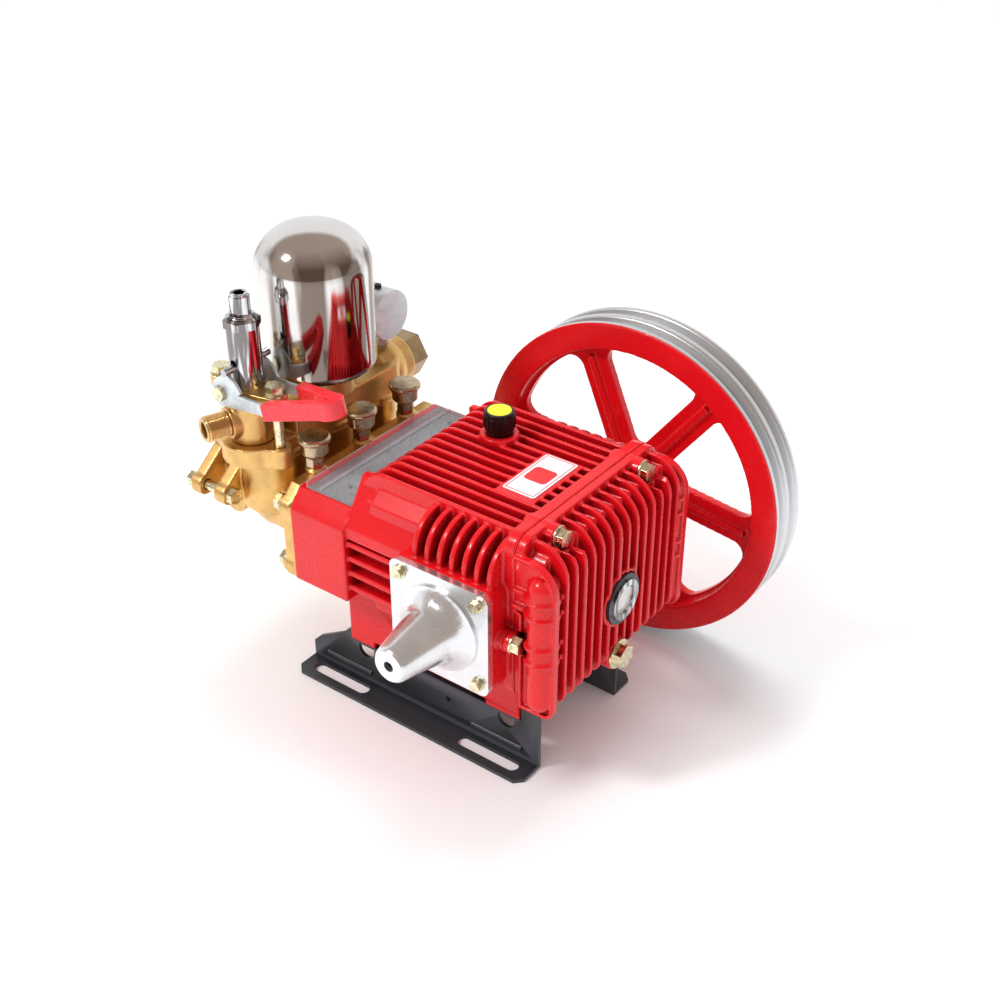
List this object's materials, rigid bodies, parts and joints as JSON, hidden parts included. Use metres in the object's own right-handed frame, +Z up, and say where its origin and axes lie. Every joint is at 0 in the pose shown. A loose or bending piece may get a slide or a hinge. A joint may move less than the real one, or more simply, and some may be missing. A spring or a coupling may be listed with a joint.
{
  "type": "pressure washer pump",
  "caption": "Belt-driven plunger pump: finned red crankcase on slotted rails, spoked flywheel, brass valve head with air chamber, gauge, and lever-released pressure regulator.",
  "frame": {"origin": "on the ground, at the middle of the four foot slots", "axes": "+X along the plungers, from the brass head towards the finned rear cover; +Y along the crankshaft, towards the flywheel; +Z up"},
  "size_m": [0.3999, 0.3325, 0.3615],
  "materials": {
    "red_paint": "glossy red enamel over a cast surface",
    "wheel_paint": "glossy red enamel on the web, turned bare metal on the rim",
    "black_paint": "matt black powder coat",
    "brass": "cast and machined brass",
    "bronze": "browned bronze",
    "zinc_bolt": "yellow zinc plating",
    "zinc_plate": "bright zinc plated sheet",
    "silver_casting": "bright as-cast metal",
    "polished_stainless": "polished stainless steel",
    "chrome": "chrome plated",
    "nickel": "dull nickel plating",
    "gauge_steel": "satin steel",
    "ground_steel": "ground steel",
    "forged_steel": "forged, shot blasted",
    "cast_iron": "machined cast iron",
    "ceramic": "ground ceramic",
    "black_rubber": "matt",
    "packing": "cotton-filled rubber rings",
    "gasket": "pressed fibre",
    "clear_plastic": "clear plastic sheet",
    "red_vinyl": "dipped vinyl",
    "black_plastic": "moulded",
    "plate": "printed aluminium plate"
  },
  "bodies": {
    "frame": {"base_rail_left": "black_paint", "base_rail_right": "black_paint", "rail_bolts": "zinc_bolt", "crankcase": "red_paint", "rear_cover": "red_paint", "cover_gasket": "gasket", "cover_bolts": "zinc_bolt", "shaft_cover": "silver_casting", "bearing_cap": "red_paint", "bearing_screws": "zinc_bolt", "shaft_seal": "black_rubber", "bearing_outer_races": "ground_steel", "oil_seals": "black_rubber", "packings": "packing", "gland_nuts": "brass", "drip_cover": "clear_plastic", "cylinder_block": "brass", "head_bolts": "zinc_bolt", "suction_head": "brass", "check_valves": "ground_steel", "grease_cups": "nickel", "discharge_manifold": "brass", "air_chamber": "polished_stainless", "regulator_body": "brass", "regulator_bolts": "zinc_bolt", "regulator_cylinder": "chrome", "regulator_spring": "ground_steel", "lever_screws": "zinc_bolt", "gauge_case": "gauge_steel", "gauge_lens": "clear_plastic", "sight_glass": "nickel", "drain_plug": "zinc_bolt", "nameplate": "plate"},
    "crank": {"crankshaft": "ground_steel", "flywheel_key": "ground_steel", "flywheel": "wheel_paint", "flywheel_nut": "zinc_bolt", "bearing_inner_races": "ground_steel"},
    "rod_1": {"conrod_1": "forged_steel", "wrist_pin_1": "ground_steel"},
    "rod_2": {"conrod_2": "forged_steel", "wrist_pin_2": "ground_steel"},
    "rod_3": {"conrod_3": "forged_steel", "wrist_pin_3": "ground_steel"},
    "piston_1": {"crosshead_1": "cast_iron", "plunger_1": "ceramic"},
    "piston_2": {"crosshead_2": "cast_iron", "plunger_2": "ceramic"},
    "piston_3": {"crosshead_3": "cast_iron", "plunger_3": "ceramic"},
    "lever": {"release_lever": "zinc_plate", "lever_grip": "red_vinyl"},
    "lifter": {"lift_pin": "ground_steel"},
    "adjuster": {"adjusting_screw": "chrome"},
    "cup_cap_1": {"grease_cap_1": "nickel"},
    "cup_cap_2": {"grease_cap_2": "nickel"},
    "cup_cap_3": {"grease_cap_3": "nickel"},
    "needle": {"gauge_needle": "black_plastic"},
    "filler": {"oil_cap": "black_plastic"},
    "coupling": {"union_nut": "bronze"}
  },
  "joints": [
    {"name": "crank_turn", "type": "hinge", "parent": "frame", "child": "crank", "pos_m": [0.063, 0, 0.143], "axis": [0, 1, 0], "continuous": true},
    {"name": "rod_1_carry", "type": "hinge", "parent": "crank", "child": "rod_1", "pos_m": [0.071, -0.0533, 0.143], "axis": [0, 1, 0], "continuous": true},
    {"name": "rod_2_carry", "type": "hinge", "parent": "crank", "child": "rod_2", "pos_m": [0.059, 0, 0.14993], "axis": [0, 1, 0], "continuous": true},
    {"name": "rod_3_carry", "type": "hinge", "parent": "crank", "child": "rod_3", "pos_m": [0.059, 0.0533, 0.13607], "axis": [0, 1, 0], "continuous": true},
    {"name": "plunger_1_stroke", "type": "slide", "parent": "frame", "child": "piston_1", "axis": [1, 0, 0], "range_m": [-0.016, 0]},
    {"name": "plunger_2_stroke", "type": "slide", "parent": "frame", "child": "piston_2", "axis": [1, 0, 0], "range_m": [-0.00446, 0.01154]},
    {"name": "plunger_3_stroke", "type": "slide", "parent": "frame", "child": "piston_3", "axis": [1, 0, 0], "range_m": [-0.00446, 0.01154]},
    {"name": "lever_lift", "type": "hinge", "parent": "frame", "child": "lever", "pos_m": [-0.152, -0.072, 0.254], "axis": [0, -1, 0], "range_deg": [0, 50]},
    {"name": "lift_pin_rise", "type": "slide", "parent": "frame", "child": "lifter", "axis": [0, 0, 1], "range_m": [0, 0.0031], "deforming": ["regulator_spring"]},
    {"name": "adjusting_screw_turn", "type": "hinge", "parent": "frame", "child": "adjuster", "pos_m": [-0.143, -0.072, 0.312], "axis": [0, 0, 1], "range_deg": [-360, 360]},
    {"name": "grease_cap_1_turn", "type": "hinge", "parent": "frame", "child": "cup_cap_1", "pos_m": [-0.098, -0.0533, 0.21], "axis": [0, 0, -1], "range_deg": [0, 360]},
    {"name": "grease_cap_2_turn", "type": "hinge", "parent": "frame", "child": "cup_cap_2", "pos_m": [-0.098, 0, 0.21], "axis": [0, 0, -1], "range_deg": [0, 360]},
    {"name": "grease_cap_3_turn", "type": "hinge", "parent": "frame", "child": "cup_cap_3", "pos_m": [-0.098, 0.0533, 0.21], "axis": [0, 0, -1], "range_deg": [0, 360]},
    {"name": "needle_turn", "type": "hinge", "parent": "frame", "child": "needle", "pos_m": [-0.152, 0.076, 0.2605], "axis": [1, 0, 0], "range_deg": [0, 270], "stiffness_Nm_per_rad": 0.002},
    {"name": "oil_cap_turn", "type": "hinge", "parent": "frame", "child": "filler", "pos_m": [0.017, 0.027, 0.224], "axis": [0, 0, 1], "range_deg": [0, 360]},
    {"name": "union_nut_turn", "type": "hinge", "parent": "frame", "child": "coupling", "pos_m": [-0.143, 0.104, 0.21], "axis": [0, 1, 0], "range_deg": [0, 360]}
  ],
  "couplings": [
    {"joint": "rod_1_carry", "follows": "crank_turn", "ratio": -1},
    {"joint": "rod_2_carry", "follows": "crank_turn", "ratio": -1},
    {"joint": "rod_3_carry", "follows": "crank_turn", "ratio": -1},
    {"joint": "lift_pin_rise", "follows": "lever_lift", "m_per_rad": 0.0034377}
  ]
}
